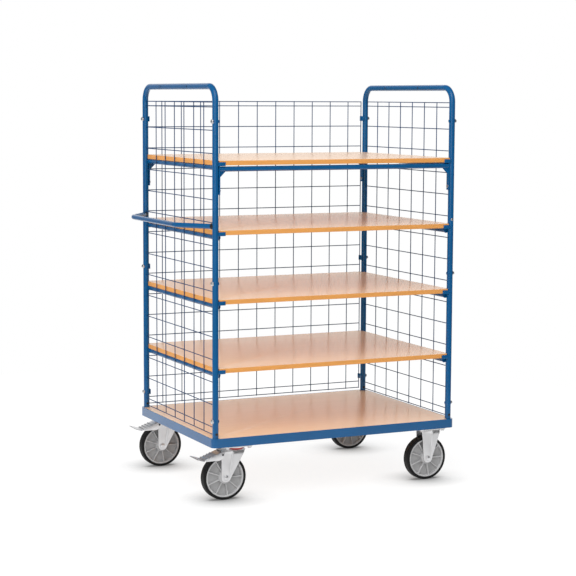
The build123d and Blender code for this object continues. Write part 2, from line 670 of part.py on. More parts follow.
def brake_shoe(y):
    """A block under the pedal, hollowed to bear on the tyre when the pedal is down."""
    block = tread_bar(SHOE_START, SHOE_WIDTH, SHOE_LENGTH, -PEDAL_WALL - SHOE_DEPTH, SHOE_DEPTH)
    axle_from_pivot = (PEDAL_PIVOT_BACK, -PEDAL_PIVOT_RISE)
    wheel_space = xz_solid(Pos(*axle_from_pivot) * Circle(WHEEL_RADIUS + BRAKE_GAP), -SHOE_WIDTH, SHOE_WIDTH)
    block -= Rot(0, PEDAL_TRAVEL, 0) * wheel_space
    return Pos(PIVOT_X, y, PIVOT_Z) * block


SIDES = (("front", -CASTOR_Y), ("rear", CASTOR_Y))
for side, side_y in SIDES:
    nodes[f"{side}_swivel_head"] = swivel_head(side_y)
    nodes[f"{side}_swivel_seal"] = swivel_seal(side_y)
    nodes[f"{side}_kingpin"] = kingpin(side_y)
    nodes[f"{side}_swivel_fork"] = swivel_fork(side_y)
    nodes[f"{side}_brake_pedal"] = brake_pedal(side_y)
    nodes[f"{side}_brake_shoe"] = brake_shoe(side_y)
    nodes[f"{side}_fixed_fork"] = fixed_fork(side_y)
    for kind, wheel_x in (("swivel", AXLE_X), ("fixed", FIXED_AXLE_X)):
        place = Pos(wheel_x, side_y, WHEEL_RADIUS)
        nodes[f"{side}_{kind}_axle"] = place * axle()
        nodes[f"{side}_{kind}_tyre"] = place * tyre()
        nodes[f"{side}_{kind}_wheel_core"] = place * wheel_core()

# One file for each node, with the origin in the middle of the outline
os.makedirs("parts", exist_ok=True)
for name, shape in nodes.items():
    export_step(Pos(FRAME_SHIFT, 0, 0) * shape, f"parts/{name}.step")
print(len(nodes), "nodes, shifted by", FRAME_SHIFT)
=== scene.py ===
"""Looks of the shelf trolley: finishes, welded mesh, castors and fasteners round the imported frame.

Metres, +Z up, front towards -Y, push handle towards -X.
"""

import json
from math import cos, pi, radians, sin, sqrt, tan

import bmesh
import bpy
from mathutils import Matrix, Vector

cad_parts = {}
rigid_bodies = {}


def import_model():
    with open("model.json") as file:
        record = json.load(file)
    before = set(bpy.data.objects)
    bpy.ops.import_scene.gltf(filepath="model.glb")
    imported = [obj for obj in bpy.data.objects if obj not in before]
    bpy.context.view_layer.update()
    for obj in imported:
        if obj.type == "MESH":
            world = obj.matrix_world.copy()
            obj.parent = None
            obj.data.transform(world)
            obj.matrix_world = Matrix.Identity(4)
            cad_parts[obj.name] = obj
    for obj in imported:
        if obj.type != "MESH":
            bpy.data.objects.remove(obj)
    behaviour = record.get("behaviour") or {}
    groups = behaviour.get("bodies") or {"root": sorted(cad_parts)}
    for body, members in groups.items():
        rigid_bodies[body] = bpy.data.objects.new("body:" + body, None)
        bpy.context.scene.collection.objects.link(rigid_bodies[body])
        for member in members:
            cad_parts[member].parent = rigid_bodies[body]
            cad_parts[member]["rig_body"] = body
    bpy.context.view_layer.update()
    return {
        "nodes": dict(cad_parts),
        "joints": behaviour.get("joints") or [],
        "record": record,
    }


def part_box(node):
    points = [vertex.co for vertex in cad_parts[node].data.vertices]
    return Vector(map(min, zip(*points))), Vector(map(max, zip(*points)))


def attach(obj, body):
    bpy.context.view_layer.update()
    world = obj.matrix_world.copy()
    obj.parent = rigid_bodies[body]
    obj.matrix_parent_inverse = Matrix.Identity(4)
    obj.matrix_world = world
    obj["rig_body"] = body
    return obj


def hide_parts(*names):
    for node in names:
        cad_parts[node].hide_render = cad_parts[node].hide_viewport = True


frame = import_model()
nodes = frame["nodes"]
joints = {joint["name"]: joint for joint in frame["joints"]}
slots = {part["node"]: part["material_slot"] for part in frame["record"]["subparts"]}
SIDES = ("front", "rear")
ENDS = ("left", "right")
SHELVES = range(1, 5)

# Directions
UP = Vector((0, 0, 1))
DOWN = Vector((0, 0, -1))
ACROSS = Vector((0, 1, 0))
FRONT = Vector((0, -1, 0))
Z_AXIS = 2

# Camera, with its lens and sensor in millimetres
CAMERA_PLACE = (-3.3837, -7.1879, 1.7458)
CAMERA_YAW = radians(25.318)
CAMERA_PITCH = radians(6.319)
CAMERA_ROLL = radians(-0.255)
CAMERA_LENS = 108.25
CAMERA_FAR = 100
SENSOR_WIDTH = 36.0

# Light and stage
FLOOR_RADIUS = 2.7
FLOOR_SIDES = 64
FLOOR_BACK = 0.6
FLOOR_WHITE = 0.9
FLOOR_GLOW = 0.78
FLOOR_GLOW_STRENGTH = 1.1
# Painted contact shadow: ambient occlusion greys the floor's glow close round the wheels
CONTACT_REACH = 0.19
CONTACT_START = 0.45
CONTACT_SHADOW_GREY = 0.15
BACKDROP_SIDE = Vector((0.427, 0.904, 0.03)).normalized()
BACKDROP_EDGE = (0.62, 0.98)
MIRRORED_DARK = 0.10
BRIGHT_SIDE = Vector((-0.80, 0.50, -0.10)).normalized()
BRIGHT_EDGE = (-0.9, 0.5)
AMBIENT_DARK = 0.40
AMBIENT = 1.15
KEY_PLACE = (-4.2, -5.4, 3.0)
KEY_SIZE = 5.5
KEY_POWER = 95.0
TOP_PLACE = (-1.2, -3.2, 5.2)
TOP_SIZE = 4.0
TOP_POWER = 88.0
LIGHT_AIM = (0.05, 0.0, 0.8)

# Colours
WHITE = (1.0, 1.0, 1.0)
BLUE = (0.0002, 0.088, 0.248)
# The wires' own blue paint, made darker as painted shade for thin wires in shadow
WIRE_BLUE_IN_SHADE = (0.004, 0.045, 0.14)
BEECH = (0.90, 0.60, 0.385)
FLECK = (0.97, 0.955, 0.935)
BAND = (0.75, 0.34, 0.095)
ZINC = (0.80, 0.80, 0.81)
WHEEL_GREY = (0.49, 0.49, 0.495)
RUBBER = (0.006, 0.006, 0.0065)
SEAL_RED = (0.55, 0.025, 0.02)
PLASTIC_BLACK = (0.014, 0.014, 0.016)

# Finishes: tones are shares of a colour, and a reach is added to a roughness
NOISE_MIDDLE = (0.3, 0.7)
PAINT_TONES = (0.93, 1.07)
PAINT_ROUGHNESS_REACH = (-0.02, 0.03)
PAINT_SPECULAR = 0.1
PAINT_COAT_ROUGHNESS = 0.22
GRAIN_TONES = ((0.25, 0.972), (0.55, 1.0), (0.8, 1.012))
FLECK_EDGE = (0.60, 0.72)
BAND_TONES = (0.93, 1.06)
FACE_EDGE = (0.55, 0.85)
BOARD_ROUGHNESS = (0.255, 0.263)
BOARD_SPECULAR = 0.2
ZINC_TONES = (0.97, 1.02)
ZINC_ROUGHNESS = (0.33, 0.43)
MOULDED_TONES = (0.9, 1.1)
MOULDED_ROUGHNESS_REACH = (-0.05, 0.06)
WIDTH_MIDDLE = 0.5
# Painted shade in a wheel's recesses, fading out between these distances from the middle of its width
RECESS_SHADE_FLOOR = 0.12
RECESS_SHADE_TOP = 0.36

# Mesh building
ROUND_SIDES = 32
WIRE_SIDES = 10
HEX_SIDES = 6
DOME_STEPS = 6
BEAD_STEPS = 8
WELD_DISTANCE = 1e-5
FLAT_ANGLE = radians(0.8)
SHARP_ANGLE = radians(32)

# Softened edges
EDGE_SEGMENTS = 2
EDGE_PROFILE = 0.6
BOARD_EDGE = 0.0012
BOARD_EDGE_SEGMENTS = 3
STEEL_EDGE = 0.0008
SHOE_EDGE = 0.0012
KINGPIN_EDGE = 0.0006

# Fastener forms, as shares of their height or radius
HEX_CHAMFER_START = 0.82
HEX_CHAMFER_TOP = 0.86
DOME_COLLAR = 0.25
WASHER_CHAMFER = 0.3

# Wire welds, as shares of the wire's radius
WIRE_WELD_RING = 0.45
WIRE_WELD_BEAD = 0.5
WIRE_WELD_STEPS = 5

# Wheels
WHEEL_SIDES = 72
TYRE_GAP = 0.0002
TYRE_SHOULDER = 0.005
TYRE_SHOULDER_STEPS = 6
TYRE_GROOVE = 0.0016
TYRE_GROOVE_PLACES = (-0.0075, 0.0075)
TYRE_GROOVE_WIDTH = 0.002
RIM_INSET = 0.001
RIM_LIP = 0.0075
RIM_LIP_EDGE = 0.0012
WEB_HALF = 0.0055
HUB_BORE = 0.0065
HUB_RADIUS = 0.027
HUB_EDGE = 0.0018
POCKET_DRAFT = 0.001
POCKET_ROUND = 0.003
RIB_COUNT = 9
RIB_THICKNESS = 0.0042
RIB_DRAFT = 0.0008
RIB_EDGE = 0.0006
RIB_BELOW_FACE = 0.0008
RIB_ROOT = 0.002

# Forks
CHEEK_HALF = 0.031
FORK_SHEET = 0.004
FORK_BEND = 0.009
FORK_EYE = 0.020
FORK_FOLD = 0.003
FORK_FOLD_SHOULDER = 0.009
FORK_FOLD_LOW = 0.010
FORK_FOLD_TOP = 0.030
FORK_VALLEY = 0.0022
FORK_VALLEY_FOOT = (0.024, 0.060)
FORK_COLUMNS = 40
FORK_SIDE_ROWS = 24
FORK_CURVE_STEPS = 8
FORK_CROWN_STEPS = 3
FIXED_FOLD_LOW = 0.006
FIXED_FOLD_TOP = 0.020
FIXED_BACK = 0.030
FIXED_FRONT = 0.066

# Axles
AXLE_RADIUS = 0.006
AXLE_HEAD = 0.0105
AXLE_WASHER = 0.0125
AXLE_NUT_FLATS = 0.019
AXLE_THREAD_END = 0.0015

# Brake pedals, about their pivot
PEDAL_SLOPE = radians(21)
PEDAL_TAIL = 0.008
PEDAL_HEAD = 0.017
PEDAL_LENGTH = 0.100
PEDAL_SHEET = 0.0025
PEDAL_EDGE = 0.0008
PEDAL_BEND = 0.008
TREAD_START = 0.016
TREAD_STEPS = 96
RIDGE_COUNT = 4
RIDGE_PITCH = 0.015
RIDGE_WIDTH = 0.010
RIDGE_HEIGHT = 0.003
RIDGE_END = 0.004
TOE_LENGTH = 0.0385
TOE_STEPS = 24
TOE_RISE = radians(15)
TOE_HALF = 0.055
TOE_FLARE = 0.006
TOE_CORNER = 0.012
ARM_HALF = 0.0339
ARM_DEPTH = 0.024
ARM_HEEL = 0.012
ARM_CORNER = 0.002

# Pedal rivets
# The black rivet caps are painted shade for the hollows of the rivets
RIVET_RADIUS = 0.0055
RIVET_SIDES = 20
RIVET_CAP_RADIUS = 0.0047
RIVET_CAP_HEIGHT = 0.0013
RIVET_CAP_ROOM = 0.0012
RIVET_CAP_SINK = 0.0002

# Castor plates and their bolts
PLATE_THICKNESS = 0.005
PLATE_CORNER = 0.012
PLATE_BOLT_X = 0.0525
PLATE_BOLT_Y = 0.040
BOLT_FLATS = 0.016
BOLT_HEIGHT = 0.0065
WASHER_RADIUS = 0.0105
WASHER_HEIGHT = 0.002

# Swivel races and seals
RACE_SIDES = 48
RACE_BORE = 0.0062
RACE_RADIUS = 0.045
RACE_STEP = 0.0005
RACE_FOOT = 0.0425
RACE_FOOT_EDGE = 0.0015
RACE_LAP = 0.001
SEAL_BORE = 0.010
SEAL_STEPS = 8

# Fasteners on the posts
FASTENING_HEIGHTS = (0.353, 0.949, 1.638)
CAP_RADIUS = 0.0095
CAP_HEIGHT = 0.010
CAP_SINK = 0.0015
POST_NUT_FLATS = 0.013
POST_NUT_HEIGHT = 0.0035
POST_NUT_SINK = 0.001
FOOT_SCREW_HEIGHT = 0.298
BRACKET_BOLT_HEIGHT = 1.345
BRACKET_PLATE = 0.005
PIN_HEIGHT = 1.195
SCREW_RADIUS = 0.006
SCREW_HEIGHT = 0.003
SCREW_SINK = 0.0008
# Black domes along the hoop tops: painted shade for small holes
HOOP_PLUG_SHARES = (0.35, 0.73)
HOOP_PLUG_RADIUS = 0.0042
HOOP_PLUG_HEIGHT = 0.0018
WELD_BEAD = 0.0022
WELD_SINK = 0.0005


# Objects in the scene

def add_object(name, data):
    """A new object with its data, linked to the scene."""
    made = bpy.data.objects.new(name, data)
    bpy.context.scene.collection.objects.link(made)
    return made


def mesh_object(name, bm):
    """A new object from a built mesh, which is freed."""
    mesh = bpy.data.meshes.new(name)
    bm.to_mesh(mesh)
    bm.free()
    return add_object(name, mesh)


# Camera, made first

def make_camera():
    """A camera at the photograph's viewing angle."""
    forward = Vector((sin(CAMERA_YAW) * cos(CAMERA_PITCH), cos(CAMERA_YAW) * cos(CAMERA_PITCH),
                      -sin(CAMERA_PITCH)))
    level = Vector((cos(CAMERA_YAW), -sin(CAMERA_YAW), 0))
    down = forward.cross(level)
    right = level * cos(CAMERA_ROLL) + down * sin(CAMERA_ROLL)
    up = level * sin(CAMERA_ROLL) - down * cos(CAMERA_ROLL)
    data = bpy.data.cameras.new("camera")
    data.lens = CAMERA_LENS
    data.sensor_width = SENSOR_WIDTH
    data.clip_end = CAMERA_FAR
    camera = add_object("camera", data)
    turn = Matrix((right, up, -forward)).transposed().to_4x4()
    camera.matrix_world = Matrix.Translation(CAMERA_PLACE) @ turn
    bpy.context.scene.camera = camera


make_camera()


# Light and stage

def area_light(name, place, size, power):
    """A round lamp aimed at the trolley."""
    data = bpy.data.lights.new(name, "AREA")
    data.shape = "DISK"
    data.size = size
    data.energy = power
    lamp = add_object(name, data)
    lamp.location = place
    lamp.rotation_euler = (Vector(LIGHT_AIM) - Vector(place)).to_track_quat("-Z", "Y").to_euler()


def ray_share(tree, *rays):
    """A socket that is 1 for rays of the kinds named."""
    path = tree.nodes.new("ShaderNodeLightPath")
    total = path.outputs[rays[0]]
    for ray in rays[1:]:
        either = tree.nodes.new("ShaderNodeMath")
        either.operation = "MAXIMUM"
        tree.links.new(total, either.inputs[0])
        tree.links.new(path.outputs[ray], either.inputs[1])
        total = either.outputs[0]
    return total


def mix_shaders(tree, share, first, second):
    """A mix of two shaders, with a share of the second."""
    mix = tree.nodes.new("ShaderNodeMixShader")
    for source, socket in zip((share, first, second), mix.inputs):
        tree.links.new(source, socket)
    return mix.outputs[0]


def background(tree, strength, colour=None):
    """A background of a strength, white or with a colour socket."""
    shader = tree.nodes.new("ShaderNodeBackground")
    shader.inputs["Color"].default_value = (*WHITE, 1)
    shader.inputs["Strength"].default_value = strength
    if colour is not None:
        tree.links.new(colour, shader.inputs["Color"])
    return shader.outputs[0]


def side_level(tree, side, edge, dark):
    """White towards one side of the studio, down to a dark level away from it."""
    facing = tree.nodes.new("ShaderNodeVectorMath")
    facing.operation = "DOT_PRODUCT"
    facing.inputs[1].default_value = side
    tree.links.new(tree.nodes.new("ShaderNodeTexCoord").outputs["Generated"], facing.inputs[0])
    level = tree.nodes.new("ShaderNodeMapRange")
    level.interpolation_type = "SMOOTHSTEP"
    level.inputs["From Min"].default_value = edge[0]
    level.inputs["From Max"].default_value = edge[1]
    level.inputs["To Min"].default_value = dark
    tree.links.new(facing.outputs["Value"], level.inputs["Value"])
    return level.outputs[0]


def make_world():
    """A white backdrop, in a studio that is bright behind and to the left and dimmer in front."""
    world = bpy.data.worlds.new("studio")
    bpy.context.scene.world = world
    world.use_nodes = True
    tree = world.node_tree
    tree.nodes.remove(tree.nodes["Background"])
    ambient = background(tree, AMBIENT, side_level(tree, BRIGHT_SIDE, BRIGHT_EDGE, AMBIENT_DARK))
    mirrored = background(tree, 1.0, side_level(tree, BACKDROP_SIDE, BACKDROP_EDGE, MIRRORED_DARK))
    surround = mix_shaders(tree, ray_share(tree, "Is Glossy Ray"), ambient, mirrored)
    seen = ray_share(tree, "Is Camera Ray", "Is Transmission Ray")
    shown = mix_shaders(tree, seen, surround, background(tree, 1.0))
    tree.links.new(shown, tree.nodes["World Output"].inputs["Surface"])


def floor_white():
    """Matt white, seen mostly as an even glow, with a painted contact shadow: ambient occlusion darkens
    the glow close round the wheels.
    """
    mat = bpy.data.materials.new("floor_white")
    mat.use_nodes = True
    tree = mat.node_tree
    tree.nodes.clear()
    matt = tree.nodes.new("ShaderNodeBsdfDiffuse")
    matt.inputs["Color"].default_value = (FLOOR_WHITE, FLOOR_WHITE, FLOOR_WHITE, 1)
    # Painted shadow: the glow turns grey where the wheels stand close
    painted_contact_shadow = tree.nodes.new("ShaderNodeAmbientOcclusion")
    painted_contact_shadow.inputs["Distance"].default_value = CONTACT_REACH
    tone = tree.nodes.new("ShaderNodeMapRange")
    tone.inputs["From Min"].default_value = CONTACT_START
    tone.inputs["To Min"].default_value = CONTACT_SHADOW_GREY
    tree.links.new(painted_contact_shadow.outputs["AO"], tone.inputs["Value"])
    glow = tree.nodes.new("ShaderNodeEmission")
    glow.inputs["Strength"].default_value = FLOOR_GLOW_STRENGTH
    tree.links.new(tone.outputs[0], glow.inputs["Color"])
    seen = ray_share(tree, "Is Camera Ray", "Is Glossy Ray", "Is Transmission Ray")
    share = tree.nodes.new("ShaderNodeMath")
    share.operation = "MULTIPLY"
    share.inputs[1].default_value = FLOOR_GLOW
    tree.links.new(seen, share.inputs[0])
    out = tree.nodes.new("ShaderNodeOutputMaterial")
    shown = mix_shaders(tree, share.outputs[0], matt.outputs[0], glow.outputs[0])
    tree.links.new(shown, out.inputs["Surface"])
    return mat


def make_floor():
    """A pale floor that keeps soft shadows round the wheels and runs into the white backdrop."""
    bm = bmesh.new()
    bmesh.ops.create_circle(bm, cap_ends=True, segments=FLOOR_SIDES, radius=FLOOR_RADIUS)
    floor = mesh_object("floor", bm)
    floor.location.y = FLOOR_BACK
    floor.data.materials.append(floor_white())


area_light("key", KEY_PLACE, KEY_SIZE, KEY_POWER)
area_light("top", TOP_PLACE, TOP_SIZE, TOP_POWER)
make_world()
make_floor()
bpy.context.scene.view_settings.view_transform = "Standard"


# Materials

class Finish:
    """A material with a Principled shader, and helpers for the textures that drive it."""

    def __init__(self, name, **sockets):
        self.material = bpy.data.materials.new(name)
        self.material.use_nodes = True
        self.tree = self.material.node_tree
        self.shader = self.tree.nodes["Principled BSDF"]
        for socket, value in sockets.items():
            self.set(socket.replace("_", " "), value)

    def set(self, socket, value):
        """Gives a socket of the shader one value all over."""
        self.shader.inputs[socket].default_value = value

    def link(self, output, socket):
        """Lets a texture drive a socket of the shader."""
        self.join(output, self.shader.inputs[socket])

    def join(self, output, socket):
        """Links an output to any socket."""
        self.tree.links.new(output, socket)

    def node(self, kind, **properties):
        """A new node of a kind, with its properties set."""
        made = self.tree.nodes.new(kind)
        for name, value in properties.items():
            setattr(made, name, value)
        return made

    def place(self, kind):
        """Texture coordinates of a kind."""
        return self.node("ShaderNodeTexCoord").outputs[kind]

    def distance(self, kind, axis, middle=0.0):
        """How far texture coordinates lie from a middle on one axis."""
        split = self.node("ShaderNodeSeparateXYZ")
        self.join(self.place(kind), split.inputs[0])
        aside = self.node("ShaderNodeMath", operation="SUBTRACT")
        aside.inputs[1].default_value = middle
        self.join(split.outputs[axis], aside.inputs[0])
        either_way = self.node("ShaderNodeMath", operation="ABSOLUTE")
        self.join(aside.outputs[0], either_way.inputs[0])
        return either_way.outputs[0]

    def noise(self, scale, detail=3.0, stretch=(1, 1, 1)):
        """Noise on the piece's own coordinates, in cells of about 1 / scale metres."""
        mapping = self.node("ShaderNodeMapping")
        mapping.inputs["Scale"].default_value = stretch
        self.join(self.place("Object"), mapping.inputs["Vector"])
        texture = self.node("ShaderNodeTexNoise")
        texture.inputs["Scale"].default_value = scale
        texture.inputs["Detail"].default_value = detail
        self.join(mapping.outputs[0], texture.inputs["Vector"])
        return texture.outputs["Fac"]

    def ramp(self, factor, *stops):
        """Colours along a factor, as (place, colour)."""
        ramp = self.node("ShaderNodeValToRGB")
        elements = ramp.color_ramp.elements
        while len(elements) < len(stops):
            elements.new(0.5)
        for element, (place, colour) in zip(elements, stops):
            element.position = place
            element.color = (*colour, 1)
        self.join(factor, ramp.inputs["Fac"])
        return ramp.outputs["Color"]

    def tones(self, noise, colour, shares):
        """A colour that a noise varies between two shares of it."""
        return self.ramp(noise, *zip(NOISE_MIDDLE, (shade(colour, share) for share in shares)))

    def spread(self, factor, values, source=NOISE_MIDDLE):
        """Maps a stretch of a factor, or else the middle of a noise, to a range of values."""
        span = self.node("ShaderNodeMapRange")
        for name, value in zip(("From Min", "From Max", "To Min", "To Max"), (*source, *values)):
            span.inputs[name].default_value = value
        self.join(factor, span.inputs["Value"])
        return span.outputs["Result"]

    def vary_roughness(self, noise, values):
        """Lets a noise vary the roughness over a range of values."""
        self.set("Roughness", sum(values) / 2)
        self.link(self.spread(noise, values), "Roughness")

    def mix(self, factor, first, second, blend="MIX"):
        """Two colours mixed by a number or by another socket."""
        mixer = self.node("ShaderNodeMix", data_type="RGBA", blend_type=blend)
        if isinstance(factor, float):
            mixer.inputs["Factor"].default_value = factor
        else:
            self.join(factor, mixer.inputs["Factor"])
        self.join(first, mixer.inputs["A"])
        self.join(second, mixer.inputs["B"])
        return mixer.outputs["Result"]

    def painted_recess_shade(self, share):
        """Painted shade for recesses: a tone from a share at the middle of the piece's width to full at
        the faces of its ribs.
        """
        depth = self.distance("Generated", "Y", WIDTH_MIDDLE)
        return self.ramp(depth, (RECESS_SHADE_FLOOR, shade(WHITE, share)), (RECESS_SHADE_TOP, WHITE))

    def bump(self, height, depth, strength):
        """Adds relief of a depth in metres to the surface."""
        relief = self.node("ShaderNodeBump")
        relief.inputs["Strength"].default_value = strength
        relief.inputs["Distance"].default_value = depth
        self.join(height, relief.inputs["Height"])
        self.link(relief.outputs["Normal"], "Normal")


def shade(colour, share):
    """A share of a colour, kept within white."""
    return tuple(min(1.0, channel * share) for channel in colour)


def around(value, reach):
    """A range that reaches to both sides of a value."""
    return [value + end for end in reach]


def painted(name, colour, roughness, gloss):
    """Powder coat: a fine orange peel with slight changes of tone and gloss."""
    finish = Finish(name, Specular_IOR_Level=PAINT_SPECULAR, Coat_Weight=gloss,
                    Coat_Roughness=PAINT_COAT_ROUGHNESS)
    finish.link(finish.tones(finish.noise(scale=7.0), colour, PAINT_TONES), "Base Color")
    finish.vary_roughness(finish.noise(scale=60.0), around(roughness, PAINT_ROUGHNESS_REACH))
    finish.bump(finish.noise(scale=900.0, detail=1.0), depth=0.00004, strength=0.15)
    return finish.material


def wood_board():
    """Beech-look board: a pale grained face, with a darker band on every edge."""
    finish = Finish("beech_board", Specular_IOR_Level=BOARD_SPECULAR)
    grain = finish.noise(scale=9.0, detail=5.0, stretch=(0.35, 6.0, 1.0))
    face = finish.ramp(grain, *((place, shade(BEECH, share)) for place, share in GRAIN_TONES))
    fleck = finish.noise(scale=60.0, detail=2.0, stretch=(1.5, 9.0, 1.0))
    flecks = finish.ramp(fleck, *zip(FLECK_EDGE, (WHITE, FLECK)))
    face = finish.mix(1.0, face, flecks, "MULTIPLY")
    streak = finish.noise(scale=14.0, detail=4.0, stretch=(0.5, 0.5, 9.0))
    band = finish.tones(streak, BAND, BAND_TONES)
    level = finish.spread(finish.distance("Normal", "Z"), (0.0, 1.0), FACE_EDGE)
    finish.link(finish.mix(level, band, face), "Base Color")
    finish.vary_roughness(grain, BOARD_ROUGHNESS)
    return finish.material


def zinc_plate():
    """Bright zinc plate: clouded gloss with fine rolling marks."""
    finish = Finish("zinc_plate", Metallic=1.0)
    cloud = finish.noise(scale=26.0, detail=4.0)
    finish.link(finish.tones(cloud, ZINC, ZINC_TONES), "Base Color")
    marks = finish.noise(scale=240.0, detail=3.0, stretch=(1.0, 1.0, 0.12))
    finish.vary_roughness(marks, ZINC_ROUGHNESS)
    finish.bump(marks, depth=0.00005, strength=0.3)
    return finish.material


def moulded(name, colour, roughness, grain, gloss=0.4, recess_shade=None):
    """Moulded plastic or rubber with a fine eroded skin.

    A recess shade is the share of the colour that is left at the middle of a wheel's width: painted
    shade that darkens the web and pockets between the ribs.
    """
    finish = Finish(name, Specular_IOR_Level=gloss)
    skin_and_any_shade = finish.tones(finish.noise(scale=40.0, detail=4.0), colour, MOULDED_TONES)
    # Painted shade: darker towards the middle of the wheel's width, in the pockets between the ribs
    if recess_shade is not None:
        skin_and_any_shade = finish.mix(1.0, skin_and_any_shade, finish.painted_recess_shade(recess_shade), "MULTIPLY")
    finish.link(skin_and_any_shade, "Base Color")
    finish.vary_roughness(finish.noise(scale=120.0), around(roughness, MOULDED_ROUGHNESS_REACH))
    finish.bump(finish.noise(scale=grain, detail=2.0), depth=0.0001, strength=0.5)
    return finish.material


looks = {
    "blue_paint": painted("blue_powder_coat", BLUE, roughness=0.24, gloss=0.8),
    # The wires' blue paint with painted shade: a darker copy of the powder coat
    "blue_wire": painted("blue_wire_coat_shaded", WIRE_BLUE_IN_SHADE, roughness=0.4, gloss=0.0),
    "wood_board": wood_board(),
    "zinc_steel": zinc_plate(),
    # The grey wheel gets painted shade in its pockets
    "grey_wheel": moulded("grey_polypropylene", WHEEL_GREY, roughness=0.46, grain=700.0, recess_shade=0.77),
    "black_tyre": moulded("black_rubber", RUBBER, roughness=0.55, grain=500.0, gloss=0.25),
    "red_seal": moulded("red_plastic", SEAL_RED, roughness=0.4, grain=900.0),
    "black_plastic": moulded("black_plastic", PLASTIC_BLACK, roughness=0.42, grain=800.0),
}

for node_name, node_object in nodes.items():
    node_object.data.materials.clear()
    node_object.data.materials.append(looks[slots[node_name]])


# Pieces from meshes

def add_piece(name, bm, body, slot, stands_for=()):
    """Turns a built mesh into a piece that rides on a body, with the slot's finish."""
    bmesh.ops.recalc_face_normals(bm, faces=bm.faces)
    piece = mesh_object(name, bm)
    piece.data.shade_smooth()
    piece.data.set_sharp_from_angle(angle=SHARP_ANGLE)
    piece.data.materials.append(looks[slot])
    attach(piece, body)
    if stands_for:
        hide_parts(*stands_for)
    return piece


def node_mesh(node):
    """A node's own shape with its flat faces joined up."""
    bm = bmesh.new()
    bm.from_mesh(nodes[node].data)
    bmesh.ops.remove_doubles(bm, verts=bm.verts, dist=WELD_DISTANCE)
    bmesh.ops.dissolve_limit(bm, angle_limit=FLAT_ANGLE, verts=bm.verts, edges=bm.edges)
    return bm


def round_edges(bm, edges, width, segments=EDGE_SEGMENTS, clamp=False):
    """Rounds edges over, by no more than there is room for when clamped."""
    bmesh.ops.bevel(bm, geom=list(edges), offset=width, segments=segments, profile=EDGE_PROFILE,
                    affect="EDGES", clamp_overlap=clamp)


def softened(node, width, segments=EDGE_SEGMENTS):
    """A node's shape with its sharp edges rounded over, standing for the node."""
    bm = node_mesh(node)
    sharp = [edge for edge in bm.edges if edge.is_manifold and edge.calc_face_angle() > SHARP_ANGLE]
    round_edges(bm, sharp, width, segments, clamp=True)
    bmesh.ops.dissolve_degenerate(bm, dist=WELD_DISTANCE, edges=bm.edges)
    add_piece(f"{node}_finished", bm, nodes[node]["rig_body"], slots[node], [node])


def islands(node):
    """The lowest and highest corners of each separate solid in a node."""
    bm = node_mesh(node)
    reached = set()
    found = []
    for start in bm.verts:
        if start in reached:
            continue
        reached.add(start)
        group = [start]
        for vertex in group:
            fresh = [edge.other_vert(vertex) for edge in vertex.link_edges]
            fresh = [other for other in fresh if other not in reached]
            reached.update(fresh)
            group += fresh
        low = Vector([min(vertex.co[axis] for vertex in group) for axis in range(3)])
        high = Vector([max(vertex.co[axis] for vertex in group) for axis in range(3)])
        found.append((low, high))
    bm.free()
    return found


def angles(turn, steps):
    """Angles from zero to a turn, in equal steps."""
    return [turn * n / steps for n in range(steps + 1)]


def square_to(axis):
    """Two directions square to an axis and to each other."""
    first = axis.orthogonal().normalized()
    return first, axis.cross(first).normalized()


def skin(bm, rings, closed_round=True):
    """Joins rings of vertices with faces."""
    for ring, following in zip(rings, rings[1:]):
        count = len(ring)
        for index in range(count if closed_round else count - 1):
            after = (index + 1) % count
            corners = [ring[index], ring[after], following[after], following[index]]
            unique = list(dict.fromkeys(corners))
            if len(unique) > 2:
                bm.faces.new(unique)


def lathe(bm, profile, origin, axis, sides=ROUND_SIDES, ring=False):
    """Turns a profile of (radius, along) round an axis. A ring's profile runs back to its start."""
    origin, axis = Vector(origin), Vector(axis).normalized()
    first, second = square_to(axis)
    spokes = [cos(a) * first + sin(a) * second for a in angles(2 * pi, sides)[:-1]]
    rings = []
    for radius, along in profile:
        centre = origin + axis * along
        if radius == 0:
            rings.append([bm.verts.new(centre)] * sides)
        else:
            rings.append([bm.verts.new(centre + radius * spoke) for spoke in spokes])
    if ring:
        rings.append(rings[0])
    skin(bm, rings)


def rod(bm, start, end, radius, sides=ROUND_SIDES):
    """A round rod with flat ends."""
    start, end = Vector(start), Vector(end)
    length = (end - start).length
    lathe(bm, [(0, 0), (radius, 0), (radius, length), (0, length)], start, end - start, sides)


def hex_nut(bm, origin, axis, flats, height):
    """A hexagon head or nut with its corners turned off."""
    corner = flats / 2 / cos(pi / HEX_SIDES)
    profile = [(0, 0), (corner, 0), (corner, height * HEX_CHAMFER_START),
               (corner * HEX_CHAMFER_TOP, height), (0, height)]
    lathe(bm, profile, origin, axis, HEX_SIDES)


def dome(bm, origin, axis, radius, height):
    """A round cap with a short collar."""
    collar = height * DOME_COLLAR
    curve = angles(pi / 2, DOME_STEPS)[:-1]
    profile = [(0, 0), (radius, 0)]
    profile += [(radius * cos(a), collar + (height - collar) * sin(a)) for a in curve]
    lathe(bm, profile + [(0, height)], origin, axis)


def washer(bm, origin, axis, radius=WASHER_RADIUS, height=WASHER_HEIGHT):
    """A round washer with its top edge cut."""
    edge = height * WASHER_CHAMFER
    lathe(bm, [(0, 0), (radius, 0), (radius, height - edge), (radius - edge, height), (0, height)],
          origin, axis)


def bead_ring(bm, origin, axis, radius, thickness=WELD_BEAD, steps=BEAD_STEPS):
    """A round weld bead about an axis."""
    profile = [(radius + thickness * cos(a), thickness * sin(a)) for a in angles(2 * pi, steps)[:-1]]
    lathe(bm, profile, origin, axis, ring=True)


# Places taken from the frame

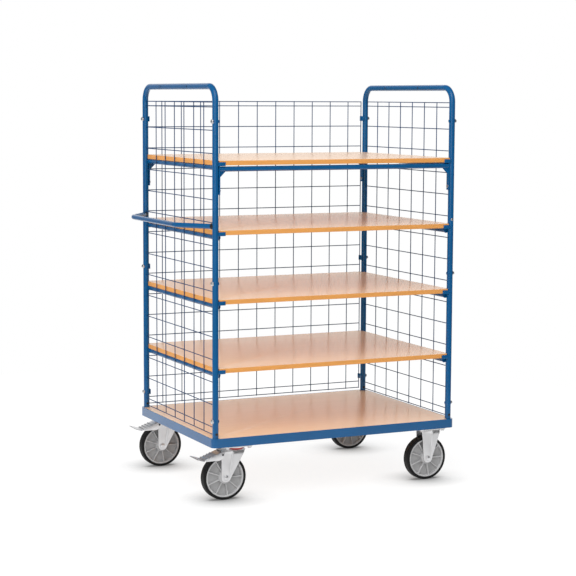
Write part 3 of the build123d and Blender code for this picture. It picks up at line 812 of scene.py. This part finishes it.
left_low, left_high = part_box("left_hoop")
right_low, right_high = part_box("right_hoop")
POST_RADIUS = (left_high.x - left_low.x) / 2
POST_XS = {-1: (left_low.x + left_high.x) / 2, 1: (right_low.x + right_high.x) / 2}
POST_YS = (left_low.y + POST_RADIUS, left_high.y - POST_RADIUS)
HOOP_TOP = left_high.z - POST_RADIUS


# Boards, platform and brackets

for board in ["deck_board"] + [f"shelf_board_{n}" for n in SHELVES]:
    softened(board, BOARD_EDGE, BOARD_EDGE_SEGMENTS)
for steelwork in ("platform_frame", "left_cross_member", "middle_cross_member", "right_cross_member",
                  "front_cross_tube", "rear_cross_tube", "front_shelf_lips", "rear_shelf_lips",
                  "mesh_clips"):
    softened(steelwork, STEEL_EDGE)


# Welded mesh walls

def mesh_wall(node):
    """Round wires where the node's wires run, with a drop of weld at every crossing."""
    bm = bmesh.new()
    runs = []
    for low, high in islands(node):
        size = high - low
        along = max(range(3), key=lambda axis: size[axis])
        middle = (low + high) / 2
        start, end = middle.copy(), middle.copy()
        start[along], end[along] = low[along], high[along]
        radius = min(size) / 2
        rod(bm, start, end, radius, WIRE_SIDES)
        runs.append((along, start, radius))
    uprights = [start for along, start, _ in runs if along == Z_AXIS]
    levels = [run for run in runs if run[0] != Z_AXIS]
    for along, start, radius in levels:
        for foot in uprights:
            crossing = (start + foot) / 2
            crossing[along] = foot[along]
            crossing.z = start.z
            away = Vector((foot.x - start.x, foot.y - start.y, 0))
            away[along] = 0
            bead_ring(bm, crossing, away, radius * WIRE_WELD_RING, radius * WIRE_WELD_BEAD,
                      WIRE_WELD_STEPS)
    add_piece(f"{node}_wires", bm, "frame", "blue_wire", [node])


for wall in ("left_mesh", "right_mesh", "back_mesh"):
    mesh_wall(wall)


# Wheels

def wheel(side, kind):
    """A rubber tyre on a ribbed grey wheel, both turned about the axle."""
    place = Vector(joints[f"{side}_{kind}_wheel_spin"]["pos_m"])
    body = f"{side}_{kind}_wheel"
    tyre_low, tyre_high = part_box(f"{side}_{kind}_tyre")
    core_low, core_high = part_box(f"{side}_{kind}_wheel_core")
    rim = core_high.z - place.z
    half = (tyre_high.y - tyre_low.y) / 2
    hub_half = (core_high.y - core_low.y) / 2
    bm = bmesh.new()
    tyre(bm, place, rim, tyre_high.z - place.z, half)
    add_piece(f"{side}_{kind}_tyre_rubber", bm, body, "black_tyre", [f"{side}_{kind}_tyre"])
    bm = bmesh.new()
    wheel_core(bm, place, rim, half - RIM_INSET, hub_half)
    add_piece(f"{side}_{kind}_wheel_moulding", bm, body, "grey_wheel", [f"{side}_{kind}_wheel_core"])


def tyre(bm, place, rim, tread, half):
    """A tyre from the rim to the tread, with round shoulders and a groove on each side."""
    corner = angles(pi / 2, TYRE_SHOULDER_STEPS)
    foot = rim + TYRE_GAP
    edge = tread - TYRE_SHOULDER
    profile = [(foot, -half), (edge, -half)]
    profile += [(edge + TYRE_SHOULDER * sin(a), -half + TYRE_SHOULDER * (1 - cos(a)))
                for a in corner[1:]]
    for groove in TYRE_GROOVE_PLACES:
        lip, wide = TYRE_GROOVE_WIDTH / 2, TYRE_GROOVE_WIDTH
        profile += [(tread, groove - wide), (tread - TYRE_GROOVE, groove - lip),
                    (tread - TYRE_GROOVE, groove + lip), (tread, groove + wide)]
    profile += [(edge + TYRE_SHOULDER * cos(a), half - TYRE_SHOULDER * (1 - sin(a))) for a in corner]
    profile += [(foot, half)]
    lathe(bm, profile, place, ACROSS, WHEEL_SIDES, ring=True)


def wheel_core(bm, place, rim, face, hub_half):
    """A hub, web and rim turned in one, with ribs on both sides of the web."""
    ring_inner = rim - RIM_LIP
    pocket_foot = POCKET_DRAFT + POCKET_ROUND
    pocket_side = WEB_HALF + POCKET_ROUND
    outline = [(HUB_BORE, hub_half), (HUB_RADIUS - HUB_EDGE, hub_half),
               (HUB_RADIUS, hub_half - HUB_EDGE), (HUB_RADIUS + POCKET_DRAFT, pocket_side),
               (HUB_RADIUS + pocket_foot, WEB_HALF), (ring_inner - pocket_foot, WEB_HALF),
               (ring_inner - POCKET_DRAFT, pocket_side), (ring_inner, face - RIM_LIP_EDGE),
               (ring_inner + RIM_LIP_EDGE, face), (rim - RIM_LIP_EDGE, face), (rim, face - RIM_LIP_EDGE)]
    mirrored = [(radius, -along) for radius, along in reversed(outline)]
    lathe(bm, outline + mirrored, place, ACROSS, WHEEL_SIDES, ring=True)
    for sy in (-1, 1):
        for turn in angles(2 * pi, RIB_COUNT)[:-1]:
            wheel_rib(bm, place, sy, turn, ring_inner + RIB_ROOT, face - RIB_BELOW_FACE)


def wheel_rib(bm, place, sy, turn, reach, height):
    """One rib from hub to rim, drawn in towards its top."""
    outward = Vector((cos(turn), 0, sin(turn)))
    across = Vector((-sin(turn), 0, cos(turn)))
    up = Vector((0, sy, 0))
    foot, top = RIB_THICKNESS / 2 + RIB_DRAFT, RIB_THICKNESS / 2
    section = [(-foot, WEB_HALF - RIB_ROOT), (-top, height - RIB_EDGE), (-top + RIB_EDGE, height),
               (top - RIB_EDGE, height), (top, height - RIB_EDGE), (foot, WEB_HALF - RIB_ROOT)]
    ends = []
    for distance in (HUB_RADIUS - RIB_ROOT, reach):
        ends.append([bm.verts.new(place + outward * distance + across * wide + up * tall)
                     for wide, tall in section])
    skin(bm, ends)
    bm.faces.new(ends[0])
    bm.faces.new(ends[1])


# Castor forks, plates and axles

def smooth_step(value):
    """A smooth rise from 0 to 1 as a value goes from 0 to 1."""
    value = max(0.0, min(1.0, value))
    return value * value * (3 - 2 * value)


def tangent_foot(x, z, radius, sign):
    """Where the line from a point to a circle about the origin touches it, on the side of the sign."""
    distance = sqrt(x * x + z * z)
    reach = sqrt(distance ** 2 - radius ** 2)
    along, aside = radius ** 2 / distance, radius * reach / distance
    return ((x * along + sign * z * aside) / distance, (z * along - sign * x * aside) / distance)


def side_edge(z, corner, sign):
    """How far a fork's side reaches at a height, between the eye and its top corner."""
    foot_x, foot_z = tangent_foot(*corner, FORK_EYE, sign)
    if z <= foot_z:
        return sign * sqrt(max(0.0, FORK_EYE ** 2 - z * z))
    share = min(1.0, (z - foot_z) / (corner[1] - foot_z))
    return foot_x + (corner[0] - foot_x) * share


def fork_rows(half, rise):
    """Rows up one side of a fork, over its crown and down again, as (y, z, 1 on a side or 0)."""
    curve = angles(pi / 2, FORK_CURVE_STEPS)[1:]
    upright, level = rise - FORK_BEND, half - FORK_BEND
    rows = [(-half, -FORK_EYE * cos(a), 1.0) for a in curve]
    rows += [(-half, upright * n / FORK_SIDE_ROWS, 1.0) for n in range(1, FORK_SIDE_ROWS + 1)]
    rows += [(-half + FORK_BEND * (1 - cos(a)), rise - FORK_BEND * (1 - sin(a)), 0.0) for a in curve]
    rows += [(n * level / FORK_CROWN_STEPS, rise, 0.0) for n in range(1 - FORK_CROWN_STEPS, 1)]
    return rows + [(-y, z, on_side) for y, z, on_side in reversed(rows[:-1])]


def fork_sheet(bm, axle, half, rise, back, front, fold_low, fold_top):
    """One pressed sheet: up one side, over the crown and down the other.

    Each side dips in a valley towards a fold and is raised beyond it.
    """
    grid = []
    for y, z, on_side in fork_rows(half, rise):
        low = side_edge(z, (-back, rise), -1)
        high = side_edge(z, (front, rise), 1)
        fold = fold_low + (fold_top - fold_low) * max(0.0, z) / rise
        under = smooth_step((rise - FORK_BEND - z) / FORK_FOLD_SHOULDER)
        over = smooth_step((z - FORK_VALLEY_FOOT[0]) / FORK_VALLEY_FOOT[1])
        lean = -1 if y < 0 else 1
        line = []
        for n in range(FORK_COLUMNS + 1):
            x = low + (high - low) * n / FORK_COLUMNS
            across = smooth_step((x - fold) / FORK_FOLD_SHOULDER)
            dip = FORK_VALLEY * over * (1 - across) * min(1.0, (x - low) / (fold - low)) ** 2
            outward = on_side * under * (FORK_FOLD * across - dip)
            line.append(bm.verts.new(axle + Vector((x, y + lean * outward, z))))
        grid.append(line)
    skin(bm, grid, closed_round=False)


def solid_sheet(piece, thickness):
    """Gives a sheet its thickness on the inside."""
    thick = piece.modifiers.new("thickness", "SOLIDIFY")
    thick.thickness = thickness
    thick.offset = -1
    thick.use_even_offset = True


def plate(bm, centre, length, width, thickness):
    """A flat plate with cut corners, below the height of its centre point."""
    half_x, half_y = length / 2, width / 2
    outline = []
    for sx, sy in ((1, 1), (-1, 1), (-1, -1), (1, -1)):
        near = Vector((sx * half_x, sy * (half_y - PLATE_CORNER), 0))
        far = Vector((sx * (half_x - PLATE_CORNER), sy * half_y, 0))
        outline += [near, far] if sx * sy > 0 else [far, near]
    top = [bm.verts.new(centre + corner) for corner in outline]
    low = [bm.verts.new(centre + corner - Vector((0, 0, thickness))) for corner in outline]
    slab(bm, [top, low], STEEL_EDGE)


def slab(bm, rings, edge):
    """A solid between two rings of vertices, with the edges of both its faces rounded."""
    skin(bm, rings)
    faces = [bm.faces.new(ring) for ring in rings]
    rims = {side for face in faces for side in face.edges}
    round_edges(bm, rims, edge)


def ridge_height(along):
    """How far the tread's ridges rise at a distance along the pedal."""
    above = 0.0
    for ridge in range(RIDGE_COUNT):
        middle = PEDAL_LENGTH - RIDGE_END - RIDGE_WIDTH / 2 - ridge * RIDGE_PITCH
        share = abs(along - middle) / (RIDGE_WIDTH / 2)
        if share < 1:
            above = RIDGE_HEIGHT * (1 + cos(pi * share)) / 2
    return above


def toe_half(along, bend):
    """Half the toe's width at a distance along it: flared beyond the bend and round at the corners."""
    flare = smooth_step((along - bend) / TOE_FLARE)
    past = max(0.0, along - (TOE_LENGTH - TOE_CORNER))
    half = ARM_HALF + (TOE_HALF - ARM_HALF) * flare
    return half - (TOE_CORNER - sqrt(max(0.0, TOE_CORNER ** 2 - past ** 2)))


def pedal_line():
    """The pedal's top from its tread to its toe about the pivot, as (x, z, half width)."""
    bend = PEDAL_BEND * tan((PEDAL_SLOPE + TOE_RISE) / 2)
    stations = []
    span = PEDAL_LENGTH - bend - TREAD_START
    for n in range(TREAD_STEPS + 1):
        along = TREAD_START + span * n / TREAD_STEPS
        above = ridge_height(along)
        stations.append((PEDAL_TAIL - along * cos(PEDAL_SLOPE) - above * sin(PEDAL_SLOPE),
                         PEDAL_HEAD - along * sin(PEDAL_SLOPE) + above * cos(PEDAL_SLOPE), ARM_HALF))
    corner_x = PEDAL_TAIL - PEDAL_LENGTH * cos(PEDAL_SLOPE)
    corner_z = PEDAL_HEAD - PEDAL_LENGTH * sin(PEDAL_SLOPE)
    for n in range(1, TOE_STEPS + 1):
        along = bend + (TOE_LENGTH - bend) * n / TOE_STEPS
        stations.append((corner_x - along * cos(TOE_RISE), corner_z + along * sin(TOE_RISE),
                         toe_half(along, bend)))
    return stations


def bent_sheet(bm, origin, stations, thickness, edge):
    """A solid sheet across the given stations, thickened downwards, with its long edges cut."""
    rings = []
    for index, (x, z, half) in enumerate(stations):
        before = stations[max(0, index - 1)]
        after = stations[min(len(stations) - 1, index + 1)]
        along = Vector((after[0] - before[0], 0, after[1] - before[1])).normalized()
        up = Vector((along.z, 0, -along.x))
        section = [(-half, -edge), (-half + edge, 0), (half - edge, 0), (half, -edge),
                   (half, edge - thickness), (half - edge, -thickness), (-half + edge, -thickness),
                   (-half, edge - thickness)]
        middle = origin + Vector((x, 0, z))
        rings.append([bm.verts.new(middle + Vector((0, y, 0)) + up * tall) for y, tall in section])
    skin(bm, rings)
    bm.faces.new(rings[0])
    bm.faces.new(rings[-1])


def brake_pedal(side):
    """A pressed pedal: ridged tread, wide turned-up toe and an arm down each side to the rivets."""
    node = f"{side}_brake_pedal"
    pivot = Vector(joints[f"{side}_brake_press"]["pos_m"])
    low_end = PEDAL_HEAD - PEDAL_LENGTH * sin(PEDAL_SLOPE) - PEDAL_SHEET / 2
    far_end = PEDAL_TAIL - PEDAL_LENGTH * cos(PEDAL_SLOPE) + PEDAL_SHEET
    outline = [(PEDAL_TAIL, PEDAL_HEAD - PEDAL_SHEET / 2), (far_end, low_end),
               (far_end + PEDAL_TAIL, -ARM_DEPTH), (-ARM_HEEL, -ARM_DEPTH),
               (PEDAL_TAIL - ARM_CORNER, -ARM_HEEL), (PEDAL_TAIL, 0)]
    bm = bmesh.new()
    bent_sheet(bm, pivot, pedal_line(), PEDAL_SHEET, PEDAL_EDGE)
    for sy in (-1, 1):
        arm = [[bm.verts.new(pivot + Vector((x, sy * y, z))) for x, z in outline]
               for y in (ARM_HALF - PEDAL_SHEET, ARM_HALF)]
        slab(bm, arm, PEDAL_EDGE)
    add_piece(f"{node}_pressing", bm, f"{side}_brake", "zinc_steel", [node])


def swivel_fork(side):
    """The turning fork, with a rivet through each side for the pedal, each end under a black cap that is
    painted shade for the rivet's hollow.
    """
    axle = Vector(joints[f"{side}_swivel_wheel_spin"]["pos_m"])
    pivot = Vector(joints[f"{side}_brake_press"]["pos_m"])
    node = f"{side}_swivel_fork"
    low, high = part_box(node)
    bm = bmesh.new()
    fork_sheet(bm, axle, CHEEK_HALF, high.z - axle.z, axle.x - low.x, high.x - axle.x,
               FORK_FOLD_LOW, FORK_FOLD_TOP)
    piece = add_piece(f"{node}_pressing", bm, f"{side}_swivel", "zinc_steel", [node])
    solid_sheet(piece, FORK_SHEET)
    rivets, caps = bmesh.new(), bmesh.new()
    inner = CHEEK_HALF - FORK_SHEET
    reach = (high.y - low.y) / 2 - inner - RIVET_CAP_ROOM
    for sy in (-1, 1):
        out = Vector((0, sy, 0))
        seat = pivot + out * inner
        rod(rivets, seat, seat + out * reach, RIVET_RADIUS, RIVET_SIDES)
        # Black cap: painted shade for the dark hollow of the rivet
        dome(caps, seat + out * (reach - RIVET_CAP_SINK), out, RIVET_CAP_RADIUS, RIVET_CAP_HEIGHT)
    add_piece(f"{side}_pedal_rivets", rivets, f"{side}_swivel", "zinc_steel")
    add_piece(f"{side}_rivet_hollow_shades", caps, f"{side}_swivel", "black_plastic")


def fixed_fork(side):
    """The fork that does not turn, under its bolted plate."""
    axle = Vector(joints[f"{side}_fixed_wheel_spin"]["pos_m"])
    node = f"{side}_fixed_fork"
    low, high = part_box(node)
    bm = bmesh.new()
    rise = high.z - PLATE_THICKNESS - axle.z
    fork_sheet(bm, axle, CHEEK_HALF, rise, FIXED_BACK, FIXED_FRONT, FIXED_FOLD_LOW, FIXED_FOLD_TOP)
    piece = add_piece(f"{node}_pressing", bm, "frame", "zinc_steel", [node])
    solid_sheet(piece, FORK_SHEET)
    bm = bmesh.new()
    middle = Vector(((low.x + high.x) / 2, axle.y, high.z))
    plate(bm, middle, high.x - low.x, high.y - low.y, PLATE_THICKNESS)
    add_piece(f"{side}_fixed_plate", bm, "frame", "zinc_steel")
    plate_bolts(side, "fixed", middle)


def plate_bolts(side, kind, middle):
    """Four hexagon bolts with washers under a castor plate."""
    bm = bmesh.new()
    for sx in (-1, 1):
        for sy in (-1, 1):
            seat = middle + Vector((sx * PLATE_BOLT_X, sy * PLATE_BOLT_Y, -PLATE_THICKNESS))
            washer(bm, seat, DOWN)
            hex_nut(bm, seat + DOWN * WASHER_HEIGHT, DOWN, BOLT_FLATS, BOLT_HEIGHT)
    add_piece(f"{side}_{kind}_plate_bolts", bm, "frame", "zinc_steel")


def swivel_head(side):
    """The top plate with its pressed ball race."""
    node = f"{side}_swivel_head"
    low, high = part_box(node)
    middle = Vector(((low.x + high.x) / 2, (low.y + high.y) / 2, high.z))
    depth = high.z - low.z
    bm = bmesh.new()
    plate(bm, middle, high.x - low.x, high.y - low.y, PLATE_THICKNESS)
    profile = [(RACE_BORE, PLATE_THICKNESS - RACE_LAP), (RACE_RADIUS, PLATE_THICKNESS - RACE_LAP),
               (RACE_RADIUS - RACE_STEP, PLATE_THICKNESS + RACE_LAP),
               (RACE_FOOT, depth - RACE_FOOT_EDGE), (RACE_FOOT - RACE_FOOT_EDGE, depth),
               (RACE_BORE, depth)]
    lathe(bm, profile, middle, DOWN, RACE_SIDES, ring=True)
    add_piece(f"{node}_pressing", bm, "frame", "zinc_steel", [node])
    plate_bolts(side, "swivel", middle)


def swivel_seal(side):
    """The round-edged dust seal between head and fork."""
    node = f"{side}_swivel_seal"
    low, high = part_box(node)
    middle = Vector(((low.x + high.x) / 2, (low.y + high.y) / 2, low.z))
    depth = high.z - low.z
    bulge = depth / 2
    flat = (high.x - low.x) / 2 - bulge
    profile = [(SEAL_BORE, 0)]
    profile += [(flat + bulge * sin(a), bulge * (1 - cos(a))) for a in angles(pi, SEAL_STEPS)]
    profile += [(SEAL_BORE, depth)]
    bm = bmesh.new()
    lathe(bm, profile, middle, UP, RACE_SIDES, ring=True)
    add_piece(f"{node}_ring", bm, "frame", "red_seal", [node])


def axle_set(side, kind, body):
    """The axle bolt, with a round head on the outer side of the castor and a nut on the inner side."""
    node = f"{side}_{kind}_axle"
    low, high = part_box(node)
    place = (low + high) / 2
    half = (high.y - low.y) / 2
    outer = FRONT if side == "front" else ACROSS
    reach = half - CHEEK_HALF
    bm = bmesh.new()
    rod(bm, place + outer * CHEEK_HALF, place - outer * half, AXLE_RADIUS)
    washer(bm, place + outer * CHEEK_HALF, outer, AXLE_WASHER)
    dome(bm, place + outer * (CHEEK_HALF + WASHER_HEIGHT), outer, AXLE_HEAD, reach - WASHER_HEIGHT)
    washer(bm, place - outer * CHEEK_HALF, -outer, AXLE_WASHER)
    hex_nut(bm, place - outer * (CHEEK_HALF + WASHER_HEIGHT), -outer, AXLE_NUT_FLATS,
            reach - WASHER_HEIGHT - AXLE_THREAD_END)
    add_piece(f"{node}_bolt", bm, body, "zinc_steel", [node])


for side in SIDES:
    swivel_head(side)
    swivel_seal(side)
    swivel_fork(side)
    fixed_fork(side)
    axle_set(side, "swivel", f"{side}_swivel")
    axle_set(side, "fixed", "frame")
    wheel(side, "swivel")
    wheel(side, "fixed")
    brake_pedal(side)
    softened(f"{side}_brake_shoe", SHOE_EDGE)
    softened(f"{side}_kingpin", KINGPIN_EDGE)


# Fasteners and welds on the posts

def post_nut(bm, post, aim, stand):
    """A hexagon nut that stands off the middle of a post."""
    hex_nut(bm, post + aim * stand, aim, POST_NUT_FLATS, POST_NUT_HEIGHT)


def post_screw(bm, post, aim, radius=SCREW_RADIUS, height=SCREW_HEIGHT):
    """A round screw head or plug let into the side of a post."""
    dome(bm, post + aim * (POST_RADIUS - SCREW_SINK), aim, radius, height)


def fasteners():
    """Caps outside the posts, nuts inside them, bracket bolts, a pin, and a black dome as each foot
    screw and hoop plug: painted shade for small holes.
    """
    caps, nuts, bolts, hole_shades, pins = (bmesh.new() for _ in range(5))
    for sx, x in POST_XS.items():
        out = Vector((sx, 0, 0))
        for y in POST_YS:
            for z in FASTENING_HEIGHTS:
                post = Vector((x, y, z))
                dome(caps, post + out * (POST_RADIUS - CAP_SINK), out, CAP_RADIUS, CAP_HEIGHT)
                post_nut(nuts, post, -out, POST_RADIUS - POST_NUT_SINK)
            # Black foot screw: painted shade for a small hole in the post
            post_screw(hole_shades, Vector((x, y, FOOT_SCREW_HEIGHT)), FRONT)
            post_nut(bolts, Vector((x, y, BRACKET_BOLT_HEIGHT)), -out, POST_RADIUS + BRACKET_PLATE)
        # Black domes on the hoop tops: painted shade for small holes
        for share in HOOP_PLUG_SHARES:
            y = POST_YS[0] + (POST_YS[1] - POST_YS[0]) * share
            for aim in (out, -out):
                post_screw(hole_shades, Vector((x, y, HOOP_TOP)), aim, HOOP_PLUG_RADIUS, HOOP_PLUG_HEIGHT)
    post_screw(pins, Vector((POST_XS[1], POST_YS[0], PIN_HEIGHT)), FRONT)
    add_piece("post_caps", caps, "frame", "zinc_steel")
    add_piece("post_nuts", nuts, "frame", "blue_paint")
    add_piece("bracket_bolts", bolts, "frame", "zinc_steel")
    add_piece("post_pin", pins, "frame", "zinc_steel")
    # Black domes: painted shade for the small holes at the post feet and along the hoops
    add_piece("hole_shade_domes", hole_shades, "frame", "black_plastic")


def welds():
    """Weld beads where the shelf rails meet the posts."""
    bm = bmesh.new()
    for side in ENDS:
        for n in SHELVES:
            low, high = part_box(f"{side}_shelf_rail_{n}")
            middle = (low + high) / 2
            radius = (high.x - low.x) / 2 - WELD_SINK
            for y in (low.y, high.y):
                bead_ring(bm, Vector((middle.x, y, middle.z)), ACROSS, radius)
    add_piece("rail_welds", bm, "frame", "blue_paint")


fasteners()
welds()
